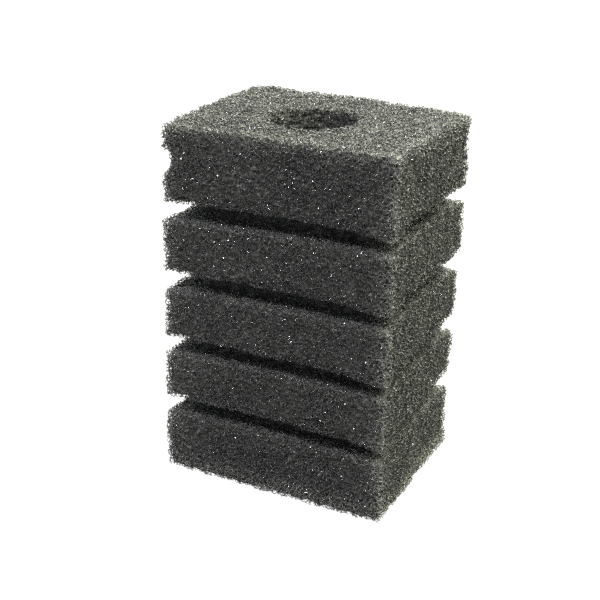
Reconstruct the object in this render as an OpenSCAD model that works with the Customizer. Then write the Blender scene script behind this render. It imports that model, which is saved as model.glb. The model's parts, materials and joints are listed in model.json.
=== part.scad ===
// Sponge filter cartridge for a pond or aquarium: one upright block of open-cell foam.
// Grooves run round all four sides and leave a stack of square-edged fins on a common core,
// and a blind bore in the top takes the inlet tube of the pump or filter head.
// Millimetres, +Z up. The origin is at the centre of the bottom face, and -Y is the front.

/* [Block] */
// Width of the block along X
block_w = 100; // [80:1:140]
// Depth of the block along Y, from the front face to the back face
block_d = 80; // [76:1:120]
// Height of the block
block_h = 155; // [145:1:240]

/* [Grooves] */
// Number of grooves, one above the other
groove_count = 4; // [1:1:4]
// Height of each groove, from the top of one fin to the underside of the next
groove_h = 7; // [5:0.5:8]
// Depth of each groove, the same on all four sides
groove_depth = 12; // [6:1:13]
// Height of the bottom slab, below the lowest groove
bottom_slab_h = 27; // [20:1:30]
// Height of each fin between two grooves
fin_h = 22.5; // [18:0.5:25]

/* [Bore] */
// Diameter of the bore for the inlet tube
bore_d = 35; // [20:1:36]
// Depth of the bore below the top face
bore_depth = 125; // [80:5:130]
// Distance of the bore's axis in front of the middle of the block
bore_forward = 4; // [0:0.5:5]

/* [Hidden] */
// Distance from one groove to the next
groove_pitch = groove_h + fin_h;
// Height of the floor of each groove above the base
groove_levels = [for (i = [0 : groove_count - 1]) bottom_slab_h + i * groove_pitch];
// Section of the core that the grooves leave standing
core_w = block_w - 2 * groove_depth;
core_d = block_d - 2 * groove_depth;
// How far a cutting solid passes the faces that it cuts
past = 1;
bore_facets = 96;
foam_colour = [0.23, 0.23, 0.22];

// A box centred on the Z axis and standing on z = 0
module upright(w, d, h) {
    translate([-w / 2, -d / 2, 0]) cube([w, d, h]);
}

// The ring of foam that one groove takes away
module groove() {
    difference() {
        upright(block_w + 2 * past, block_d + 2 * past, groove_h);
        translate([0, 0, -past]) upright(core_w, core_d, groove_h + 2 * past);
    }
}

module bore() {
    translate([0, -bore_forward, block_h - bore_depth])
        cylinder(d = bore_d, h = bore_depth + past, $fn = bore_facets);
}

module foam_block() {
    color(foam_colour)
    difference() {
        upright(block_w, block_d, block_h);
        for (level = groove_levels) translate([0, 0, level]) groove();
        bore();
    }
}

foam_block();
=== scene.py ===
"""The looks of the sponge filter: one block of charcoal open-cell foam, built as its real net of struts.

A random tile of foam cells repeats through the block. Its struts are kept in a thin shell under the
block's faces, over a dark lumpy heart. All lengths are in metres."""

import json
import math
from itertools import combinations
from types import SimpleNamespace

import bmesh
import bpy
import numpy as np
from mathutils import Euler, Matrix, Vector


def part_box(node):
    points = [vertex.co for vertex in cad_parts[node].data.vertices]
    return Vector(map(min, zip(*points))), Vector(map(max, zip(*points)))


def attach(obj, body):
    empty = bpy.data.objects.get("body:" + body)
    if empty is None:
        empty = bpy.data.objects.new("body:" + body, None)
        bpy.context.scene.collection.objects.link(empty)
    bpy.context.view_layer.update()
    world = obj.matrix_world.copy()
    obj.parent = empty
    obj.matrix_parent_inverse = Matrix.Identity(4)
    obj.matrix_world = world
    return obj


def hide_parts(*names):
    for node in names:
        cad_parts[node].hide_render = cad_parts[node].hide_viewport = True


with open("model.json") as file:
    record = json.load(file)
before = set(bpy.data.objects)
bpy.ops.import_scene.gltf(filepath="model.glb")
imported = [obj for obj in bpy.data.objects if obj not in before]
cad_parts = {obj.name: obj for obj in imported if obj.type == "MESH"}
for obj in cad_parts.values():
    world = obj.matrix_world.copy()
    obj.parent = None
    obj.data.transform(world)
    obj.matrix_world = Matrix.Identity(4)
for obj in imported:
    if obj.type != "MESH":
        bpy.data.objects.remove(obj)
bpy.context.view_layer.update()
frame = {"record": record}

MM = 0.001
SEED = 31

# ---------------------------------------------------------------- the block, from the frame
record = frame["record"]
HALF_W, HALF_D, HEIGHT = np.array(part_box("foam_block"))[1]
bore = next(m for m in record["mounts"] if m["name"] == "bore")
BORE_R = bore["dims"]["r_mm"] * MM
BORE_FLOOR = HEIGHT - bore["dims"]["length_mm"] * MM
BORE_X, BORE_Y = bore["pos_m"][0], bore["pos_m"][1]
openings = record["physics"]["openings"]
grooves = [np.array(o["box_m"]) for o in openings if o["name"].endswith("_front")]
GROOVE_DEPTH = grooves[0][1][1] + HALF_D
# the floor and top of each tier, and the middle height of each groove, from the lowest up
FLOORS = [0.0] + [g[1][2] for g in grooves]
TOPS = [g[0][2] for g in grooves] + [HEIGHT]
GROOVE_MIDDLES = [(top + floor) / 2 for top, floor in zip(TOPS[:-1], FLOORS[1:])]

# ---------------------------------------------------------------- how the block differs from a true one
# the rise of each groove's middle, the droop at its corners and its slope to the right, lowest groove first
GROOVE_RISE = (1.15 * MM, 0.05 * MM, 0.05 * MM, 1.55 * MM)
GROOVE_DROOP = (0.9 * MM, 0.9 * MM, 0.8 * MM, 1.1 * MM)
GROOVE_SLOPE = (0.2 * MM, 0.4 * MM, 0.8 * MM, 1.1 * MM)
# the right front corner of each tier hangs down over the groove below it, and its top rises a little there
HANG = 2.6 * MM
HANG_LIFT = HANG / 6
HANG_REACH = 13 * MM
# heights, and how far the right face's back edge is cut in at each
UNDERCUT = np.array(((0, -0.6), (8, 1.7), (40, 1.2), (90, 0))) * MM
# the left front and right back corners of the top droop, over the top fifth of the height
TOP_DROOP = 1.4 * MM
TOP_PART = 5
# how far loose strut ends reach past the true outer faces, and past the grooves' faces, where they stop short
GROW = 1.1 * MM
GROW_GROOVE = -0.1 * MM
EDGE_ROUND = 1.3 * MM
# the middle part that the grooves leave starts this far from the floor and from the top
CORE_INSET = 2 * EDGE_ROUND
# the left back corner is rounder than the others
CORNER_ROUND = 5 * MM
CORNER_CENTRE = np.array((CORNER_ROUND - HALF_W, HALF_D - CORNER_ROUND))
# uneven cut faces: how high, and the number, shortest and longest length and seed of the waves they come from
WOBBLE = 0.22 * MM
WOBBLE_WAVES = (14, 9 * MM, 40 * MM, SEED + 1)
TUFTS = 0.16 * MM
TUFT_WAVES = (14, 3.5 * MM, 8 * MM, SEED + 3)
# the bore is cut a little to the left and out of round, and wider, because its loose struts look thin
BORE_SHIFT = -1.2 * MM
BORE_OPEN = np.array((0.4 * MM, 2.2 * MM))
# the faces are less uneven near the bore: full height this far from it, this share of it at its wall
BORE_CALM = 7 * MM
BORE_CALMEST = 0.2
# the torn dent at the left front corner
DENT_CENTRE = np.array([-HALF_W - 5.5 * MM, -HALF_D - 0.5 * MM, HEIGHT - 15.5 * MM])
DENT_R = 8.5 * MM
DENT_FLATTER = 1.3

# ---------------------------------------------------------------- the colours of the struts, and the painted light on them
# from dark to pale; the paler tones also serve as painted light at the edges, towards the foot and in the
# grooves
TONES = (
    (0.052, 0.053, 0.053),
    (0.078, 0.079, 0.079),
    (0.112, 0.113, 0.111),
    (0.165, 0.166, 0.159),
    (0.265, 0.266, 0.249),
)
# the roughness of the clear skin on each tone
GLOSS = (0.12, 0.07, 0.16, 0.09, 0.18)
STRUT_ROUGH = 0.35
# how glossy the plastic is under the skin, from spot to spot
SPOT_SCALE = 700
SPOT_DETAIL = 3
SPOT_RANGE = (0.35, 0.65)
SPOT_GLOSS = (0.2, 0.8)
BASE_TONE = 0.063
# painted light: the lower half of the struts is painted paler towards the floor, by up to this share at the
# foot, for light from the floor
FOOT_PAINTED_LIGHT = 0.10
# painted light: how much paler the struts are painted at upright and top edges, for the light that gets into
# the foam there from two faces, and at the bottom edge, for light from the floor; and how far in
EDGE_PAINTED_LIGHT = ((3.1, 3.6 * MM), (1.6, 6.0 * MM), (5.0, 5.5 * MM))
# the bands of painted light are wider on the front and back than on the sides, and wider below the top's
# edges than on it; the same distances set where windows near edges keep skin
EDGE_SKEW = (0.62, 1.0)
TOP_SKEW = 1.8
# painted light: how much paler the struts are painted inside the grooves, to lift the shade there, and how
# far in that starts and is full
GROOVE_PAINTED_LIGHT = 1.8
GROOVE_PAINTED_LIGHT_FROM = 1.5 * MM
GROOVE_PAINTED_LIGHT_TO = 6 * MM
# how much the tone varies in patches and from strut to strut
PATCH = 0.14
PATCH_WAVES = (10, 7 * MM, 30 * MM, SEED + 4)
CHANCE = 0.22

# ---------------------------------------------------------------- the foam
# a cell has the volume of a ball this wide; a tile is this many steps of the cells' lattice wide, and the
# cells' middles are moved from the lattice by chance, by this share of a step
CELL = 2.0 * MM
TILE_CELLS = 7
JITTER = 0.24
# neighbours looked at round each cell, those that its corners are made from, and those tested first
NEIGHBOURS = 50
CORNER_NEIGHBOURS = 40
CLOSEST = 8
# no corner of a cell lies further from its middle than this, or between neighbours that span less than this
FARTHEST = 2.0 * CELL
FLATTEST = 1e-6 * CELL**3
# allows for rounding, and keeps divisions away from zero
ROUNDING = 1e-9
# how often the nodes are evened out, and how far each goes towards the middle of its neighbours
RELAX_ROUNDS = 2
RELAX_PULL = 0.5
# how far a node's corners stand from its middle: near the surface and deep down, and by chance
CUSP = 0.138 * MM
CUSP_DEEP = 0.21 * MM
CUSP_FROM = 0.5 * MM
CUSP_CHANCE = (0.85, 1.25)
# how unevenly strut ends are cut, as a whole and at each corner, and the least share of a strut that is left
RAGGED = 0.16 * MM
RAGGED_CORNER = RAGGED / 4
STUB = 0.08
# how deep struts are built under outer faces, and underneath, in the grooves and in the bore
SHELL_OUT = 1.3 * MM
SHELL_IN = 0.6 * MM
OUTER_LAYER = 1.8 * SHELL_OUT
UNDER_LAYER = 1.2 * SHELL_OUT
# nothing is built further in than this, below the part of the bore that can be seen
UNSEEN = GROOVE_DEPTH + 6 * MM
BORE_SEEN = 45 * MM
# the shell is deeper behind the edges, as if they were this round, by no more than this
EDGE_OPEN = 2.8 * MM
EDGE_EXTRA = 1.2 * MM
# windows between cells with this many corners may keep skin: this share of them on faces, and near edges;
# the skin's middle is this thick each way
WINDOW_SIZES = (4, 5, 6)
WINDOW_SHARE = 0.09
WINDOW_SHARE_EDGE = 0.5
WINDOW_EDGE = 2.6 * MM
WINDOW_BULGE = 0.05 * MM
# how the foam tile is turned, so that its rows don't show
TURN = np.array(Euler((0.71, 0.43, 1.19)).to_matrix())
# tiles are used this far out from the shell, and the table of tiles has this many empty rows round it
TILE_SPARE = 2 * MM
TABLE_MARGIN = 2
# a node's six corners lie between pairs of its four cells; those on each cell's side, and those that aren't
PAIRS = list(combinations(range(4), 2))
CELL_SIDE = np.array([[k for k, pair in enumerate(PAIRS) if cell in pair] for cell in range(4)])
OTHER_SIDE = np.array([[k for k, pair in enumerate(PAIRS) if cell not in pair] for cell in range(4)])
# the faces of a closed wedge with four points
WEDGE = np.array([[0, 1, 2], [1, 0, 3], [0, 2, 3], [2, 1, 3]])

# ---------------------------------------------------------------- the deep foam behind the struts
# how far the heart lies under outer faces and under the others, and how high its foot is
HEART_OUT = 1.38 * MM
HEART_IN = 0.85 * MM
HEART_FOOT = 0.15 * MM
HEART_ROUND = 1.5 * MM
HEART_VOXEL = 1.1 * MM
HEART_ROUGH = 0.35 * MM
HEART_WAVES = (16, 2.2 * MM, 4.5 * MM, SEED + 2)
# how far the lumps go in and out at most
HEART_LUMPS = (-1.0 * MM, 0.9 * MM)
HEART_PALE = (0.22, 0.22, 0.208, 1)
HEART_DARK = (0.07, 0.07, 0.066, 1)
HEART_CELLS = 700
HEART_CELL_RANGE = (0.2, 0.6)
HEART_SKIN_ROUGH = 0.6
BORE_SEGMENTS = 96

# ---------------------------------------------------------------- the pieces that the strut net is made in
TOP_LAYER = 12 * MM
SIXTHS = ("front_left", "front_middle", "front_right", "back_left", "back_middle", "back_right")

# ---------------------------------------------------------------- camera, floor and light
CAMERA_PLACE = (0.1953, -0.4219, 0.2674)
CAMERA_YAW, CAMERA_PITCH, CAMERA_ROLL = (math.radians(v) for v in (-25.64, 22.53, 1.51))
CAMERA_LENS = 69.68
CAMERA_CLIP = 0.01
FLOOR_HALF = 2.0
FLOOR_SPAN = (-1.0 * MM, -0.2 * MM)
FLOOR_TONE = 0.19
FLOOR_ROUGH = 0.9
WHITE = (1, 1, 1, 1)
# the light is cool from the left and the front, and warm from the top and the right
FILL = (0.95, 0.99, 1.12)
WARM = (1.0, 1.01, 0.80)
COOL_SPARK = (0.97, 0.99, 1.06)
WARM_SPARK = (1, 1, 0.92)
FILL_STRENGTH = 0.12
ROOM_STRENGTH = 0.8
# where the room turns from cool to warm, along x
ROOM_TURN = (0.1, 0.6)
AIM = (0, 0, 0.09)
# name, place, side in metres, power in watts and colour of each lamp
LAMPS = (
    ("top_key", (0.22, 0.10, 0.83), 0.8, 7.5, WARM),
    ("top_back", (0.05, 0.50, 0.65), 1.1, 15.0, WARM),
    ("spark_left", (-0.30, -0.52, 0.88), 0.06, 1.4, COOL_SPARK),
    ("spark_high", (0.05, -0.45, 0.85), 0.06, 1.3, COOL_SPARK),
    ("spark_right", (0.42, -0.50, 0.85), 0.06, 1.2, WARM_SPARK),
    ("spark_side", (0.80, -0.15, 0.50), 0.05, 0.3, WARM_SPARK),
)


# ---------------------------------------------------------------- the shape of the block
def sag(p):
    """How far each point stands higher than in a true block."""
    u, v = p[:, 0] / HALF_W, p[:, 1] / HALF_D
    knots = [0.0, *GROOVE_MIDDLES, HEIGHT]
    sizes = (GROOVE_RISE, GROOVE_DROOP, GROOVE_SLOPE)
    rise, droop, slope = (np.interp(p[:, 2], knots, (0.0, *size, 0.0)) for size in sizes)
    knots, hang = [], []
    for floor, top in zip(FLOORS, TOPS):
        knots += [floor, (floor + top) / 2, top]
        hang += [-HANG if floor > 0 else 0.0, 0.0, HANG_LIFT if top < HEIGHT else 0.0]
    near = np.exp(-((p[:, 0] - HALF_W) ** 2 + (p[:, 1] + HALF_D) ** 2) / HANG_REACH**2)
    at_top = np.clip(p[:, 2] / HEIGHT * TOP_PART - (TOP_PART - 1), 0, 1)
    top_droop = TOP_DROOP * np.clip(u * v, 0, 1) ** 2 * at_top
    return rise - droop * u**2 * v**2 + slope * u + near * np.interp(p[:, 2], knots, hang) - top_droop


def undercut(p):
    """How far the right face is cut in at each point, more towards its back edge."""
    back = np.clip((p[:, 1] / HALF_D + 1) / 2, 0, 1)
    return back * np.interp(p[:, 2], *UNDERCUT.T) * (p[:, 0] > 0)


def in_true_block(p):
    """Where points of the hand-cut block would be in a true one."""
    flat = p.copy()
    flat[:, 2] -= sag(p)
    flat[:, 0] += undercut(p)
    return flat


def waves(p, count, shortest, longest, seed):
    """A smooth random value at each point: a sum of sine waves with the given wavelengths, about 1 high."""
    rng = np.random.default_rng(seed)
    total = np.zeros(len(p))
    for _ in range(count):
        way = rng.normal(size=3)
        way /= np.linalg.norm(way)
        length = rng.uniform(shortest, longest)
        total += np.sin(p @ way * (2 * math.pi / length) + rng.uniform(0, 2 * math.pi))
    return total * math.sqrt(2 / count)


def bore_depth(p):
    """How far points lie from the bore; negative inside it."""
    across = (p[:, :2] - (BORE_X + BORE_SHIFT, BORE_Y)) / (BORE_R + BORE_OPEN)
    radial = (np.hypot(*across.T) - 1) * BORE_R
    below = BORE_FLOOR - p[:, 2]
    away = np.hypot(np.maximum(radial, 0), np.maximum(below, 0))
    return np.where((radial < 0) & (below < 0), np.maximum(radial, below), away)


def box_depth(p, half, floor, top, radius):
    """How deep points lie inside an upright box with rounded edges; negative outside."""
    middle = (0, 0, (floor + top) / 2)
    q = np.abs(p - middle) - (half[0] - radius, half[1] - radius, (top - floor) / 2 - radius)
    return radius - np.linalg.norm(np.maximum(q, 0), axis=1) - np.minimum(q.max(axis=1), 0)


def grown(half_x, half_y):
    """Half the width and depth of an upright box, with the loose strut ends."""
    return np.array((half_x + GROW, half_y + GROW))


def tier_span(floor, top):
    """How low and how high a tier reaches, with the loose strut ends."""
    return floor - GROW_GROOVE * (floor > 0), top + (GROW_GROOVE if top < HEIGHT else GROW)


def tiers_depth(flat, radius):
    """How deep points of the true block lie inside its tiers, with edges of this radius; negative outside."""
    depth = np.full(len(flat), -1.0)
    for floor, top in zip(FLOORS, TOPS):
        tier = grown(HALF_W, HALF_D), *tier_span(floor, top)
        depth = np.maximum(depth, box_depth(flat, *tier, radius))
    return depth


def foam_depth(p):
    """How deep points lie under the nearest surface of the block."""
    flat = in_true_block(p)
    depth = tiers_depth(flat, EDGE_ROUND)
    core = grown(HALF_W - GROOVE_DEPTH, HALF_D - GROOVE_DEPTH)
    depth = np.maximum(depth, box_depth(flat, core, CORE_INSET, HEIGHT - CORE_INSET, 0.0))
    uneven = WOBBLE * waves(p, *WOBBLE_WAVES) + TUFTS * waves(p, *TUFT_WAVES)
    from_bore = bore_depth(p)
    depth += uneven * np.clip(from_bore / BORE_CALM, BORE_CALMEST, 1)
    corner = p[:, :2] - CORNER_CENTRE
    at_corner = (corner[:, 0] < 0) & (corner[:, 1] > 0)
    depth = np.where(at_corner, np.minimum(depth, CORNER_ROUND - np.hypot(*corner.T)), depth)
    dent = (p - DENT_CENTRE) * (1, 1, DENT_FLATTER)
    depth = np.minimum(depth, np.linalg.norm(dent, axis=1) - DENT_R)
    return np.minimum(depth, from_bore)


def shell_depth(p):
    """How deep the struts are built under each point's surface."""
    outer = np.minimum(HALF_W - np.abs(p[:, 0]), HALF_D - np.abs(p[:, 1])) + GROW
    outer = np.minimum(outer, HEIGHT + GROW - p[:, 2])
    unseen = (outer > UNSEEN) & (p[:, 2] < HEIGHT - BORE_SEEN) & (p[:, 2] > GROOVE_DEPTH)
    thin = (outer > OUTER_LAYER) | (p[:, 2] < np.minimum(outer, UNDER_LAYER))
    return np.where(unseen, 0, np.where(thin, SHELL_IN, SHELL_OUT))


def in_shell(p, whole):
    """Which points lie in the shell that is built, and how deep each lies; only whole nodes count."""
    depth = foam_depth(p)
    limit = shell_depth(p)
    solid = (depth > 0) & (depth < limit) & whole
    # just under the shell of the outer faces, points near an edge are built too
    doubt = (depth >= limit) & (depth < limit + EDGE_EXTRA) & (limit == SHELL_OUT) & whole
    doubt = np.nonzero(doubt)[0]
    solid[doubt] = tiers_depth(in_true_block(p[doubt]), EDGE_OPEN) < limit[doubt]
    return solid, depth


def from_edges(p):
    """How far points lie from the block's upright, top and bottom edges."""
    sides = np.sort((grown(HALF_W, HALF_D) - np.abs(p[:, :2])) * EDGE_SKEW, axis=1)
    under = HEIGHT + GROW - p[:, 2]
    return sides[:, 1], np.maximum(TOP_SKEW * sides[:, 0], under), np.maximum(sides[:, 0], p[:, 2])


def region_of(p):
    """The number of the piece that each point belongs to: six for each tier below it, and its sixth.

    The tiers are counted from the lowest up, and the top layer comes last."""
    tier = np.digitize(p[:, 2], GROOVE_MIDDLES)
    tier = np.where(p[:, 2] > HEIGHT - TOP_LAYER, len(FLOORS), tier)
    third = np.digitize(p[:, 0], (-HALF_W / 3, HALF_W / 3))
    return tier * len(SIXTHS) + third + 3 * (p[:, 1] > 0)


def tone_of(p, rng):
    """Which tone each point's strut has: painted paler along edges, towards the foot and in the grooves as
    painted light, with patches and chance.
    """
    # painted light: paler at the edges, towards the foot and inside the grooves
    painted_light = 1
    for away, (strength, reach) in zip(from_edges(p), EDGE_PAINTED_LIGHT):
        painted_light = painted_light + strength * np.exp(-np.maximum(away, 0) ** 2 / reach**2)
    painted_light = painted_light * (1 + FOOT_PAINTED_LIGHT * np.clip(1 - 2 * p[:, 2] / HEIGHT, 0, 1))
    inward = (grown(HALF_W, HALF_D) - np.abs(p[:, :2])).min(axis=1)
    inward = np.clip((inward - GROOVE_PAINTED_LIGHT_FROM) / (GROOVE_PAINTED_LIGHT_TO - GROOVE_PAINTED_LIGHT_FROM), 0, 1)
    between = np.abs(p[:, 2] - HEIGHT / 2) < HEIGHT / 2 - TOP_LAYER
    in_groove = between & (bore_depth(p) > GROOVE_PAINTED_LIGHT_TO / 2)
    painted_light = painted_light * (1 + GROOVE_PAINTED_LIGHT * inward * in_groove)
    patch = np.exp(PATCH * waves(p, *PATCH_WAVES) + CHANCE * rng.normal(size=len(p)))
    ladder = np.log([t[0] for t in TONES])
    return np.abs(np.log(BASE_TONE * painted_light * patch)[:, None] - ladder).argmin(axis=1)


# ---------------------------------------------------------------- one random tile of foam
def lattice(numbers):
    """All points whose three coordinates are each one of the numbers."""
    return np.stack(np.meshgrid(*[numbers] * 3, indexing="ij"), -1).reshape(-1, 3)


def cell_middles(rng):
    """The side of the tile, and the middles of its cells: a jittered body-centred lattice."""
    step = (math.pi / 3) ** (1 / 3) * CELL
    grid = lattice(np.arange(TILE_CELLS))
    middles = np.concatenate([grid, grid + 0.5]) * step
    return TILE_CELLS * step, middles + rng.normal(0, JITTER * step, middles.shape)


def cell_corners(ways, triples):
    """The corners of one cell, from the ways to its neighbours: the neighbours round each, and its place."""
    a, b, c = ways[triples[:, 0]], ways[triples[:, 1]], ways[triples[:, 2]]
    bc = np.cross(b, c)
    volume = 2 * (a * bc).sum(axis=1)
    volume[np.abs(volume) < FLATTEST] = np.inf
    size = [(v * v).sum(axis=1)[:, None] for v in (a, b, c)]
    corner = (size[0] * bc + size[1] * np.cross(c, a) + size[2] * np.cross(a, b)) / volume[:, None]
    ok = ((corner**2).sum(axis=1) < FARTHEST**2) & np.isfinite(volume)
    triples, corner = triples[ok], corner[ok]
    halfway = (ways**2).sum(axis=1) / 2
    for some in (slice(0, CLOSEST), slice(CLOSEST, NEIGHBOURS)):
        ok = (corner @ ways[some].T <= halfway[some] * (1 + ROUNDING)).all(axis=1)
        triples, corner = triples[ok], corner[ok]
    return triples, corner


def shared_sides(cells):
    """Pairs of nodes that share three of their four cells, and the number of the cell that each has alone."""
    sides = np.concatenate([np.delete(cells, k, axis=1) for k in range(4)])
    owner = np.tile(np.arange(len(cells)), 4)
    missing = np.repeat(np.arange(4), len(cells))
    n = cells.max() + 1
    key = (sides[:, 0] * n + sides[:, 1]) * n + sides[:, 2]
    order = np.argsort(key, kind="stable")
    same = np.nonzero(key[order][1:] == key[order][:-1])[0]
    first, second = order[same], order[same + 1]
    return (owner[first], owner[second]), (missing[first], missing[second])


def foam_tile(rng):
    """Nodes and struts of a random foam that repeats in all three directions.

    The struts are the edges of the Voronoi cells round the cells' middles. Returns the side, the nodes,
    the four cells round each, the struts' ends, and for each end the cell that its node has and the strut
    hasn't."""
    side, middles = cell_middles(rng)
    away = middles[None] - middles[:, None]
    away -= side * np.round(away / side)
    far = (away**2).sum(-1)
    np.fill_diagonal(far, np.inf)
    order = np.argsort(far, axis=1)[:, :NEIGHBOURS]
    all_triples = np.array(list(combinations(range(CORNER_NEIGHBOURS), 3)))
    cells, nodes = [], []
    for i, names in enumerate(order):
        # each corner is found once, from the cell with the lowest number
        later = all_triples[(names[all_triples] > i).all(axis=1)]
        triples, corner = cell_corners(away[i, names], later)
        cells.append(np.column_stack([np.full(len(triples), i), names[triples]]))
        nodes.append(middles[i] + corner)
    cells, nodes = np.sort(np.concatenate(cells), axis=1), np.concatenate(nodes)
    return side, nodes, cells, *shared_sides(cells)


def relax(side, nodes, ends):
    """Evens out the nodes.

    Returns them, the tile that each strut crosses into, and which nodes have all four struts."""
    hop = -np.round((nodes[ends[1]] - nodes[ends[0]]) / side)
    count = np.bincount(ends[0], minlength=len(nodes)) + np.bincount(ends[1], minlength=len(nodes))
    for _ in range(RELAX_ROUNDS):
        run = nodes[ends[1]] - nodes[ends[0]] + hop * side
        pull = np.zeros_like(nodes)
        np.add.at(pull, ends[0], run)
        np.add.at(pull, ends[1], -run)
        nodes = nodes + RELAX_PULL * pull / np.maximum(count, 1)[:, None]
    return nodes, hop.astype(int), count == 4


def node_cusps(side, nodes, ends, missing, hop):
    """Unit vectors to the six corners of each node, one between each two of its four struts."""
    run = nodes[ends[1]] - nodes[ends[0]] + hop * side
    unit = run / np.linalg.norm(run, axis=1)[:, None]
    spokes = np.zeros((len(nodes), 4, 3))
    spokes[ends[0], missing[0]] = unit
    spokes[ends[1], missing[1]] = -unit
    cusps = np.empty((len(nodes), len(PAIRS), 3))
    for k, (a, b) in enumerate(PAIRS):
        c, d = sorted({0, 1, 2, 3} - {a, b})
        v = spokes[:, c] + spokes[:, d]
        cusps[:, k] = v / np.maximum(np.linalg.norm(v, axis=1), ROUNDING)[:, None]
    return cusps


def turn_order(place):
    """For each ring of places, the order that goes round it."""
    arm = place - place.mean(axis=1, keepdims=True)
    normal = np.cross(arm[:, 0], arm[:, 1])
    u = arm[:, 0]
    v = np.cross(normal, u)
    u, v = (w / np.linalg.norm(w, axis=1)[:, None] for w in (u, v))
    angle = np.arctan2((arm * v[:, None]).sum(-1), (arm * u[:, None]).sum(-1))
    return np.argsort(angle, axis=1)


def tile_windows(side, nodes, cells):
    """The rings of nodes round each face between two cells.

    Each ring is a row of nodes, the cusp that each node turns to the face, and the tile that each lies in;
    rows are grouped by how many nodes they have."""
    owner = np.tile(np.arange(len(nodes)), len(PAIRS))
    cusp = np.repeat(np.arange(len(PAIRS)), len(nodes))
    n = cells.max() + 1
    key = np.concatenate([cells[:, a] * n + cells[:, b] for a, b in PAIRS])
    order = np.argsort(key, kind="stable")
    starts = np.nonzero(np.diff(key[order], prepend=-1))[0]
    counts = np.diff(np.append(starts, len(order)))
    rings = []
    for size in WINDOW_SIZES:
        rows = order[starts[counts == size][:, None] + np.arange(size)]
        ring, turned = owner[rows], cusp[rows]
        shift = -np.round((nodes[ring] - nodes[ring[:, :1]]) / side)
        turn = turn_order(nodes[ring] + shift * side)
        row = np.arange(len(turn))[:, None]
        rings.append((ring[row, turn], turned[row, turn], shift[row, turn].astype(int)))
    return rings


# ---------------------------------------------------------------- the net of struts through the block
def near_tiles(side):
    """The tiles that reach the block's shell, the place of the first in a table of tiles, and that table."""
    middle = np.array([0, 0, HEIGHT / 2])
    half = np.array([HALF_W, HALF_D, HEIGHT / 2])
    span = int(np.ceil(np.linalg.norm(half) / side)) + 1
    grid = lattice(np.arange(-span, span + 1)) + np.round(TURN.T @ middle / side).astype(int)
    centre = (grid + 0.5) * side @ TURN.T
    reach = side * math.sqrt(3) / 2 + TILE_SPARE
    near = (np.abs(centre - middle) < half + reach).all(axis=1)
    near &= foam_depth(centre) < reach + SHELL_OUT
    tiles = grid[near]
    origin = grid.min(axis=0) - TABLE_MARGIN
    table = np.full(grid.max(axis=0) - origin + TABLE_MARGIN + 1, -1)
    table[tuple((tiles - origin).T)] = np.arange(len(tiles))
    return tiles, origin, table


def foam_nodes(rng):
    """The foam in and round the block: its tile, the tiles used, and all nodes with what is known of each."""
    side, nodes, cells, ends, missing = foam_tile(rng)
    nodes, hop, whole = relax(side, nodes, ends)
    cusps = node_cusps(side, nodes, ends, missing, hop)
    cusps = cusps * rng.uniform(*CUSP_CHANCE, (len(nodes), 1, 1))
    windows = tile_windows(side, nodes, cells)
    nodes, cusps = nodes @ TURN.T, cusps @ TURN.T
    tiles, origin, table = near_tiles(side)
    where = (nodes[None] + (tiles * side @ TURN.T)[:, None]).reshape(-1, 3)
    solid, depth = in_shell(where, np.tile(whole, len(tiles)))
    inside = np.nonzero(solid)[0]
    number = np.full(len(solid), -1)
    number[inside] = np.arange(len(inside))
    return SimpleNamespace(ends=ends, missing=missing, hop=hop, cusps=cusps, windows=windows,
                           tiles=tiles, origin=origin, table=table,
                           where=where, solid=solid, depth=depth, inside=inside, number=number)


def node_corners(foam, chosen):
    """The six corner points of each chosen node, further out the deeper it lies."""
    thick = np.interp(foam.depth[chosen], (CUSP_FROM, SHELL_OUT), (CUSP, CUSP_DEEP))
    cusps = foam.cusps[chosen % len(foam.cusps)]
    return foam.where[chosen][:, None] + cusps * thick[:, None, None]


def foam_struts(foam):
    """The nodes at the struts' two ends, the first one in the shell, and the three corners used at each."""
    n = len(foam.cusps)
    tile_a = np.repeat(np.arange(len(foam.tiles)), len(foam.hop))
    strut = np.tile(np.arange(len(foam.hop)), len(foam.tiles))
    tile_b = foam.table[tuple((foam.tiles[tile_a] + foam.hop[strut] - foam.origin).T)]
    a, b = tile_a * n + foam.ends[0][strut], tile_b * n + foam.ends[1][strut]
    keep = (tile_b >= 0) & (foam.solid[a] | foam.solid[b])
    a, b, strut = a[keep], b[keep], strut[keep]
    corner_a, corner_b = (OTHER_SIDE[side[strut]] for side in foam.missing)
    swap = ~foam.solid[a]
    a, b = np.where(swap, b, a), np.where(swap, a, b)
    swap = swap[:, None]
    return a, b, np.where(swap, corner_b, corner_a), np.where(swap, corner_a, corner_b)


def loose_tips(foam, a, b, start, corner_b, rng):
    """The end points of struts that leave the shell: cut off at the surface, or at their deep node."""
    stop = node_corners(foam, b)[np.arange(len(b))[:, None], corner_b]
    depth_a, depth_b = foam.depth[a], foam.depth[b]
    length = np.linalg.norm(foam.where[b] - foam.where[a], axis=1)
    ragged = rng.normal(0, RAGGED, (len(b), 1)) + rng.normal(0, RAGGED_CORNER, (len(b), 3))
    share = (depth_a / np.maximum(depth_a - depth_b, ROUNDING))[:, None] + ragged / length[:, None]
    share = np.where(depth_b[:, None] > 0, 1.0, np.clip(share, STUB, 1.0))
    return start + (stop - start) * share[:, :, None]


def face_out(points, faces, middles):
    """Turns each face so that its normal points away from its own middle point."""
    p = points[faces]
    normal = np.cross(p[:, :, 1] - p[:, :, 0], p[:, :, 2] - p[:, :, 0])
    away = p.mean(2) - middles[:, None]
    back = (normal * away).sum(-1) < 0
    faces[back] = faces[back][:, ::-1]
    return faces


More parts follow.
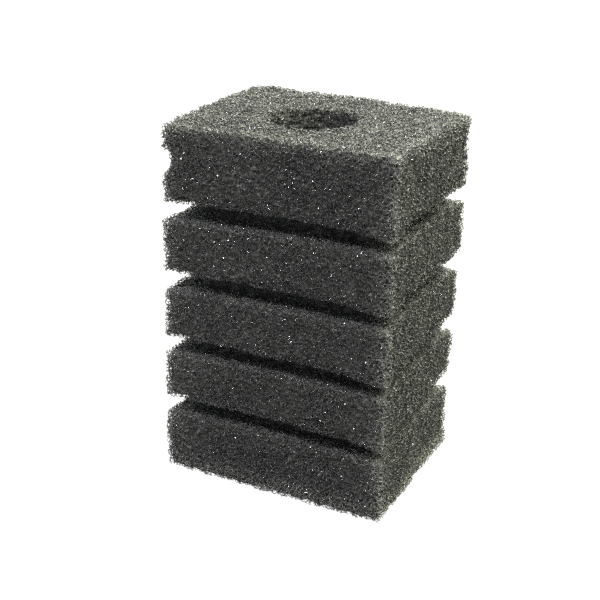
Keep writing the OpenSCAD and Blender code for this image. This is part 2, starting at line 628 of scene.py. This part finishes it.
def window_rims(foam, corners, ring, turned, shift, rng):
    """The corner points round each window that keeps skin, and how many of its parts it keeps."""
    at = foam.where.reshape(len(foam.tiles), -1, 3)[:, ring[:, 0]].reshape(-1, 3)
    edges = from_edges(at)
    share = np.where(np.min(edges, axis=0) < WINDOW_EDGE, WINDOW_SHARE_EDGE, WINDOW_SHARE)
    # at the bottom edge all of them keep skin: sheets that hide the white floor behind the lowest struts,
    # where only shade would be
    share = np.where(edges[2] < WINDOW_EDGE, 1.0, share)
    shape = (len(foam.tiles), len(ring))
    tile, face = np.nonzero(rng.random(shape) < share.reshape(shape))
    place = foam.tiles[tile][:, None] + shift[face] - foam.origin
    tile = foam.table[tuple(np.moveaxis(place, -1, 0))]
    member = tile * len(foam.cusps) + ring[face]
    ok = (tile >= 0).all(axis=1) & foam.solid[member].all(axis=1)
    rim = corners[foam.number[member[ok]], turned[face[ok]]]
    return rim, rng.integers(2, ring.shape[1] + 1, len(rim))


def window_skins(foam, corners, total, rng):
    """Points and face sets of the windows that keep part of their skin; total is the first point's number."""
    skins, sets = [], []
    for ring, turned, shift in foam.windows:
        rim, kept = window_rims(foam, corners, ring, turned, shift, rng)
        hub = rim.mean(axis=1)
        across = np.cross(rim[:, 1] - rim[:, 0], rim[:, 2] - rim[:, 0])
        across *= WINDOW_BULGE / np.linalg.norm(across, axis=1)[:, None]
        size = ring.shape[1]
        for k in range(size):
            on = kept > k
            ends = rim[on, k], rim[on, (k + 1) % size]
            wedge = np.stack([*ends, hub[on] + across[on], hub[on] - across[on]], 1)
            faces = total + np.arange(len(wedge))[:, None, None] * 4 + WEDGE
            region, tone = region_of(hub[on]), tone_of(hub[on], rng)
            skins.append(wedge.reshape(-1, 3))
            sets.append((faces.reshape(-1, 3), np.repeat(region, 4), np.repeat(tone, 4)))
            total += len(wedge) * 4
    return skins, sets


def strut_net(rng):
    """Points of the whole net, and its sets of faces, each with the region and the tone of every face."""
    foam = foam_nodes(rng)
    a, b, corner_a, corner_b = foam_struts(foam)
    corners = node_corners(foam, foam.inside)
    first = foam.number[a][:, None] * len(PAIRS) + corner_a
    last = foam.number[b][:, None] * len(PAIRS) + corner_b
    loose = ~foam.solid[b]
    start = corners.reshape(-1, 3)[first[loose]]
    tips = loose_tips(foam, a[loose], b[loose], start, corner_b[loose], rng)
    last[loose] = corners.size // 3 + np.arange(tips.size // 3).reshape(-1, 3)
    points = np.concatenate([corners.reshape(-1, 3), tips.reshape(-1, 3)])
    # three sides on each strut, four faces on each node, a cap on each loose end
    sides = [(first[:, i], first[:, j], last[:, j], last[:, i]) for i, j in ((0, 1), (1, 2), (2, 0))]
    quads = np.stack([np.column_stack(side) for side in sides], 1)
    quads = face_out(points, quads, (points[first].sum(1) + points[last].sum(1)) / 6)
    tris = np.arange(len(foam.inside))[:, None, None] * len(PAIRS) + CELL_SIDE[None]
    tris = face_out(points, tris, corners.mean(1))
    caps = face_out(points, last[loose][:, None, :], foam.where[a[loose]])
    node_region = region_of(foam.where[foam.inside])
    strut_region = node_region[foam.number[a]]
    node_tone = tone_of(foam.where[foam.inside], rng)
    strut_tone = tone_of((foam.where[a] + foam.where[b]) / 2, rng)
    sets = [(quads.reshape(-1, 4), np.repeat(strut_region, 3), np.repeat(strut_tone, 3)),
            (tris.reshape(-1, 3), np.repeat(node_region, 4), np.repeat(node_tone, 4)),
            (caps.reshape(-1, 3), strut_region[loose], strut_tone[loose])]
    skins, skin_sets = window_skins(foam, corners, len(points), rng)
    return np.concatenate([points, *skins]), sets + skin_sets


# ---------------------------------------------------------------- materials
def new_material(name):
    """An empty material, with its nodes, its links and its main shader."""
    material = bpy.data.materials.new(name)
    material.use_nodes = True
    tree = material.node_tree
    return material, tree.nodes, tree.links, tree.nodes["Principled BSDF"]


def map_range(nodes, source, target=(0.0, 1.0)):
    """A node that maps one range of numbers to another and holds what lies outside."""
    node = nodes.new("ShaderNodeMapRange")
    node.inputs["From Min"].default_value, node.inputs["From Max"].default_value = source
    node.inputs["To Min"].default_value, node.inputs["To Max"].default_value = target
    return node


def strut_material(name, tone, gloss):
    """Strut plastic of one tone, glossier and duller from spot to spot, under a clear skin."""
    material, nodes, links, shader = new_material(name)
    shader.inputs["Base Color"].default_value = (*tone, 1)
    shader.inputs["Roughness"].default_value = STRUT_ROUGH
    shader.inputs["Coat Weight"].default_value = 1.0
    shader.inputs["Coat Roughness"].default_value = gloss
    place = nodes.new("ShaderNodeTexCoord")
    spots = nodes.new("ShaderNodeTexNoise")
    spots.inputs["Scale"].default_value = SPOT_SCALE
    spots.inputs["Detail"].default_value = SPOT_DETAIL
    level = map_range(nodes, SPOT_RANGE, SPOT_GLOSS)
    links.new(place.outputs["Object"], spots.inputs["Vector"])
    links.new(spots.outputs[0], level.inputs["Value"])
    links.new(level.outputs[0], shader.inputs["Specular IOR Level"])
    return material


def heart_material():
    """Dull foam seen deep between the struts: paler cell middles and darker rims."""
    material, nodes, links, shader = new_material("foam_deep")
    shader.inputs["Roughness"].default_value = HEART_SKIN_ROUGH
    place = nodes.new("ShaderNodeTexCoord")
    cells = nodes.new("ShaderNodeTexVoronoi")
    cells.feature = "F1"
    cells.inputs["Scale"].default_value = HEART_CELLS
    shade = nodes.new("ShaderNodeMix")
    shade.data_type = "RGBA"
    shade.inputs["A"].default_value = HEART_PALE
    shade.inputs["B"].default_value = HEART_DARK
    ramp = map_range(nodes, HEART_CELL_RANGE)
    links.new(place.outputs["Object"], cells.inputs["Vector"])
    links.new(cells.outputs["Distance"], ramp.inputs["Value"])
    links.new(ramp.outputs[0], shade.inputs["Factor"])
    links.new(shade.outputs["Result"], shader.inputs["Base Color"])
    return material


# ---------------------------------------------------------------- the pieces of the strut net
def add_mesh(name, points, face_sets, materials):
    """Makes one flat-shaded piece from sets of faces: rows of corner numbers, and the faces' materials."""
    counts = np.concatenate([np.full(len(f), f.shape[1]) for f, _ in face_sets])
    loops = np.concatenate([f.ravel() for f, _ in face_sets])
    slots = np.concatenate([tone for _, tone in face_sets])
    used, loops = np.unique(loops, return_inverse=True)
    mesh = bpy.data.meshes.new(name)
    mesh.vertices.add(len(used))
    mesh.vertices.foreach_set("co", points[used].astype(np.float32).ravel())
    mesh.loops.add(len(loops))
    mesh.loops.foreach_set("vertex_index", loops.astype(np.int32))
    mesh.polygons.add(len(counts))
    starts = np.cumsum(counts) - counts
    mesh.polygons.foreach_set("loop_start", starts.astype(np.int32))
    mesh.update(calc_edges=True)
    mesh.polygons.foreach_set("use_smooth", np.zeros(len(counts), bool))
    for material in materials:
        mesh.materials.append(material)
    mesh.polygons.foreach_set("material_index", slots.astype(np.int32))
    piece = bpy.data.objects.new(name, mesh)
    bpy.context.scene.collection.objects.link(piece)
    return piece


def make_struts():
    """The strut net as pieces, one for each region that has nodes."""
    materials = [strut_material(f"foam_strut_{k}", *look) for k, look in enumerate(zip(TONES, GLOSS))]
    points, sets = strut_net(np.random.default_rng(SEED))
    pieces = []
    for region in np.unique(np.concatenate([regions for _, regions, _ in sets])):
        tier, sixth = divmod(int(region), len(SIXTHS))
        layer = "top" if tier == len(FLOORS) else f"tier_{tier + 1}"
        chosen = [(faces[regions == region], tones[regions == region]) for faces, regions, tones in sets]
        pieces.append(add_mesh(f"foam_{layer}_{SIXTHS[sixth]}", points, chosen, materials))
    return pieces


# ---------------------------------------------------------------- the deep foam behind the struts
def link_mesh(name, build):
    """Makes an object from what the function adds to an empty bmesh."""
    shape = bmesh.new()
    build(shape)
    mesh = bpy.data.meshes.new(name)
    shape.to_mesh(mesh)
    shape.free()
    made_object = bpy.data.objects.new(name, mesh)
    bpy.context.scene.collection.objects.link(made_object)
    return made_object


def add_box(shape, half, floor, top):
    """Adds an upright box to a bmesh."""
    place = Matrix.Translation((0, 0, (floor + top) / 2)) @ Matrix.Diagonal((*half, (top - floor) / 2, 1))
    bmesh.ops.create_cube(shape, size=2, matrix=place)


def heart_boxes(shape):
    """A rounded box in each tier, cut off flat at the foot, and one through them all."""
    for floor, top in zip(FLOORS, TOPS):
        low, high = tier_span(floor, top)
        low += HEART_FOOT - 2 * HEART_ROUND if floor == 0 else HEART_IN
        high -= HEART_OUT if top == HEIGHT else HEART_IN
        add_box(shape, grown(HALF_W - HEART_OUT, HALF_D - HEART_OUT), low, high)
    bmesh.ops.bevel(
        shape, geom=list(shape.edges), offset=HEART_ROUND, segments=3, profile=0.5, affect="EDGES"
    )
    bmesh.ops.bisect_plane(
        shape, geom=shape.verts[:] + shape.edges[:] + shape.faces[:],
        plane_co=(0, 0, HEART_FOOT), plane_no=(0, 0, -1), clear_outer=True,
    )
    bmesh.ops.holes_fill(shape, edges=[e for e in shape.edges if e.is_boundary])
    inner = grown(HALF_W - GROOVE_DEPTH - HEART_IN, HALF_D - GROOVE_DEPTH - HEART_IN)
    add_box(shape, inner, 2 * HEART_OUT, HEIGHT - 2 * HEART_OUT)


def heart_bore(shape):
    """The round hole that the bore leaves in the heart."""
    place = Matrix.Translation((BORE_X + BORE_SHIFT, BORE_Y, BORE_FLOOR - HEART_IN + HEIGHT / 2))
    place @= Matrix.Diagonal((*(BORE_R + BORE_OPEN + HEART_IN), HEIGHT, 1))
    bmesh.ops.create_cone(
        shape, cap_ends=True, segments=BORE_SEGMENTS, radius1=1, radius2=1, depth=1, matrix=place
    )


def apply_modifiers(obj):
    """Turns an object's modifiers into its mesh."""
    mesh = bpy.data.meshes.new_from_object(obj.evaluated_get(bpy.context.evaluated_depsgraph_get()))
    obj.modifiers.clear()
    obj.data = mesh


def remesh(obj):
    """Makes an object's mesh one even skin."""
    even = obj.modifiers.new("even", "REMESH")
    even.mode = "VOXEL"
    even.voxel_size = HEART_VOXEL
    apply_modifiers(obj)


def cut_away(obj, cutter):
    """Cuts one object out of another and removes it."""
    cut = obj.modifiers.new("cut", "BOOLEAN")
    cut.operation = "DIFFERENCE"
    cut.object = cutter
    cut.solver = "MANIFOLD"
    apply_modifiers(obj)
    bpy.data.objects.remove(cutter)


def read_vectors(vertices, attribute):
    """The three numbers that each vertex has for an attribute."""
    values = np.empty(len(vertices) * 3, np.float32)
    vertices.foreach_get(attribute, values)
    return values.reshape(-1, 3).astype(float)


def shape_heart(p, normal):
    """Where points of the plain heart go in the hand-cut block, with lumps."""
    co = p.copy()
    lumps = waves(co, *HEART_WAVES)
    corner = co[:, :2] - CORNER_CENTRE
    from_centre = np.hypot(*corner.T)
    radius = CORNER_ROUND - HEART_OUT
    outside = (corner[:, 0] < 0) & (corner[:, 1] > 0) & (from_centre > radius)
    co[outside, :2] = CORNER_CENTRE + corner[outside] * (radius / from_centre[outside])[:, None]
    co[:, 2] += sag(co)
    co[:, 0] -= undercut(co)
    dent = (co - DENT_CENTRE) * (1, 1, DENT_FLATTER)
    from_dent = np.linalg.norm(dent, axis=1)
    radius = DENT_R + HEART_OUT
    inside = from_dent < radius
    pushed = dent[inside] * (radius / from_dent[inside])[:, None]
    co[inside] = DENT_CENTRE + pushed / (1, 1, DENT_FLATTER)
    return co + normal * np.clip(lumps * HEART_ROUGH, *HEART_LUMPS)[:, None]


def make_heart():
    """The dark lumpy foam under the shell of struts."""
    heart = link_mesh("foam_heart", heart_boxes)
    remesh(heart)
    cut_away(heart, link_mesh("cutter", heart_bore))
    remesh(heart)
    mesh = heart.data
    co = shape_heart(read_vectors(mesh.vertices, "co"), read_vectors(mesh.vertices, "normal"))
    mesh.vertices.foreach_set("co", co.astype(np.float32).ravel())
    mesh.update()
    mesh.materials.clear()
    mesh.materials.append(heart_material())
    return heart


# ---------------------------------------------------------------- camera, floor and light
def add_camera():
    """The camera, turned by its yaw, pitch and roll."""
    camera = bpy.data.objects.new("camera", bpy.data.cameras.new("camera"))
    camera.data.lens = CAMERA_LENS
    camera.data.clip_start = CAMERA_CLIP
    camera.location = CAMERA_PLACE
    level = math.cos(CAMERA_PITCH)
    across, along = math.cos(CAMERA_YAW), math.sin(CAMERA_YAW)
    forward = Vector((along * level, across * level, -math.sin(CAMERA_PITCH)))
    right = Vector((across, -along, 0))
    up = right.cross(forward)
    rolled_right = right * math.cos(CAMERA_ROLL) + up * math.sin(CAMERA_ROLL)
    rolled_up = up * math.cos(CAMERA_ROLL) - right * math.sin(CAMERA_ROLL)
    camera.rotation_mode = "QUATERNION"
    turn = Matrix((rolled_right, rolled_up, -forward)).transposed()
    camera.rotation_quaternion = turn.to_quaternion()
    bpy.context.scene.collection.objects.link(camera)
    bpy.context.scene.camera = camera


def floor_sheet(shape):
    """A wide thin sheet just under the block."""
    add_box(shape, (FLOOR_HALF, FLOOR_HALF), *FLOOR_SPAN)


def add_floor():
    """The pale floor, which the camera sees as plain white."""
    floor = link_mesh("floor", floor_sheet)
    material, nodes, links, shader = new_material("floor_white")
    shader.inputs["Base Color"].default_value = (FLOOR_TONE, FLOOR_TONE, FLOOR_TONE, 1)
    shader.inputs["Roughness"].default_value = FLOOR_ROUGH
    shader.inputs["Emission Color"].default_value = WHITE
    path = nodes.new("ShaderNodeLightPath")
    links.new(path.outputs["Is Camera Ray"], shader.inputs["Emission Strength"])
    floor.data.materials.append(material)


def pick_shader(links, mixer, switch, off, on):
    """Links a mix shader so that it gives one shader where the switch is 0 and another where it is 1."""
    links.new(switch, mixer.inputs[0])
    links.new(off, mixer.inputs[1])
    links.new(on, mixer.inputs[2])


def add_world():
    """The studio's soft fill, the room as the gloss sees it, and white as the camera sees it."""
    world = bpy.data.worlds.new("studio")
    bpy.context.scene.world = world
    world.use_nodes = True
    nodes, links = world.node_tree.nodes, world.node_tree.links
    dim = nodes["Background"]
    dim.inputs["Color"].default_value = (*FILL, 1)
    dim.inputs["Strength"].default_value = FILL_STRENGTH
    # the room as the gloss sees it: cool on the left and in front, warm on the right
    room = nodes.new("ShaderNodeBackground")
    room.inputs["Strength"].default_value = ROOM_STRENGTH
    seen = nodes.new("ShaderNodeBackground")
    seen.inputs["Color"].default_value = WHITE
    place = nodes.new("ShaderNodeTexCoord")
    split = nodes.new("ShaderNodeSeparateXYZ")
    turn = map_range(nodes, ROOM_TURN)
    tint = nodes.new("ShaderNodeMix")
    tint.data_type = "RGBA"
    tint.inputs["A"].default_value = (*FILL, 1)
    tint.inputs["B"].default_value = (*WARM, 1)
    links.new(place.outputs["Generated"], split.inputs[0])
    links.new(split.outputs["X"], turn.inputs["Value"])
    links.new(turn.outputs[0], tint.inputs["Factor"])
    links.new(tint.outputs["Result"], room.inputs["Color"])
    path = nodes.new("ShaderNodeLightPath")
    gloss_mix = nodes.new("ShaderNodeMixShader")
    camera_mix = nodes.new("ShaderNodeMixShader")
    pick_shader(links, gloss_mix, path.outputs["Is Glossy Ray"], dim.outputs[0], room.outputs[0])
    pick_shader(links, camera_mix, path.outputs["Is Camera Ray"], gloss_mix.outputs[0], seen.outputs[0])
    links.new(camera_mix.outputs[0], nodes["World Output"].inputs["Surface"])


def add_lamp(name, place, size, power, colour):
    """A square soft lamp that faces the middle of the block."""
    light = bpy.data.objects.new(name, bpy.data.lights.new(name, "AREA"))
    light.data.shape = "SQUARE"
    light.data.size = size
    light.data.energy = power
    light.data.color = colour
    light.location = place
    light.rotation_mode = "QUATERNION"
    light.rotation_quaternion = (Vector(AIM) - Vector(place)).to_track_quat("-Z", "Y")
    bpy.context.scene.collection.objects.link(light)


made = [*make_struts(), make_heart()]
for piece in made:
    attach(piece, "root")
    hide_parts("foam_block")

add_camera()
add_floor()
add_world()
for lamp in LAMPS:
    add_lamp(*lamp)
bpy.context.scene.view_settings.view_transform = "Standard"
# the denoiser takes the fine struts for noise and smears them
bpy.context.scene.cycles.use_denoising = False
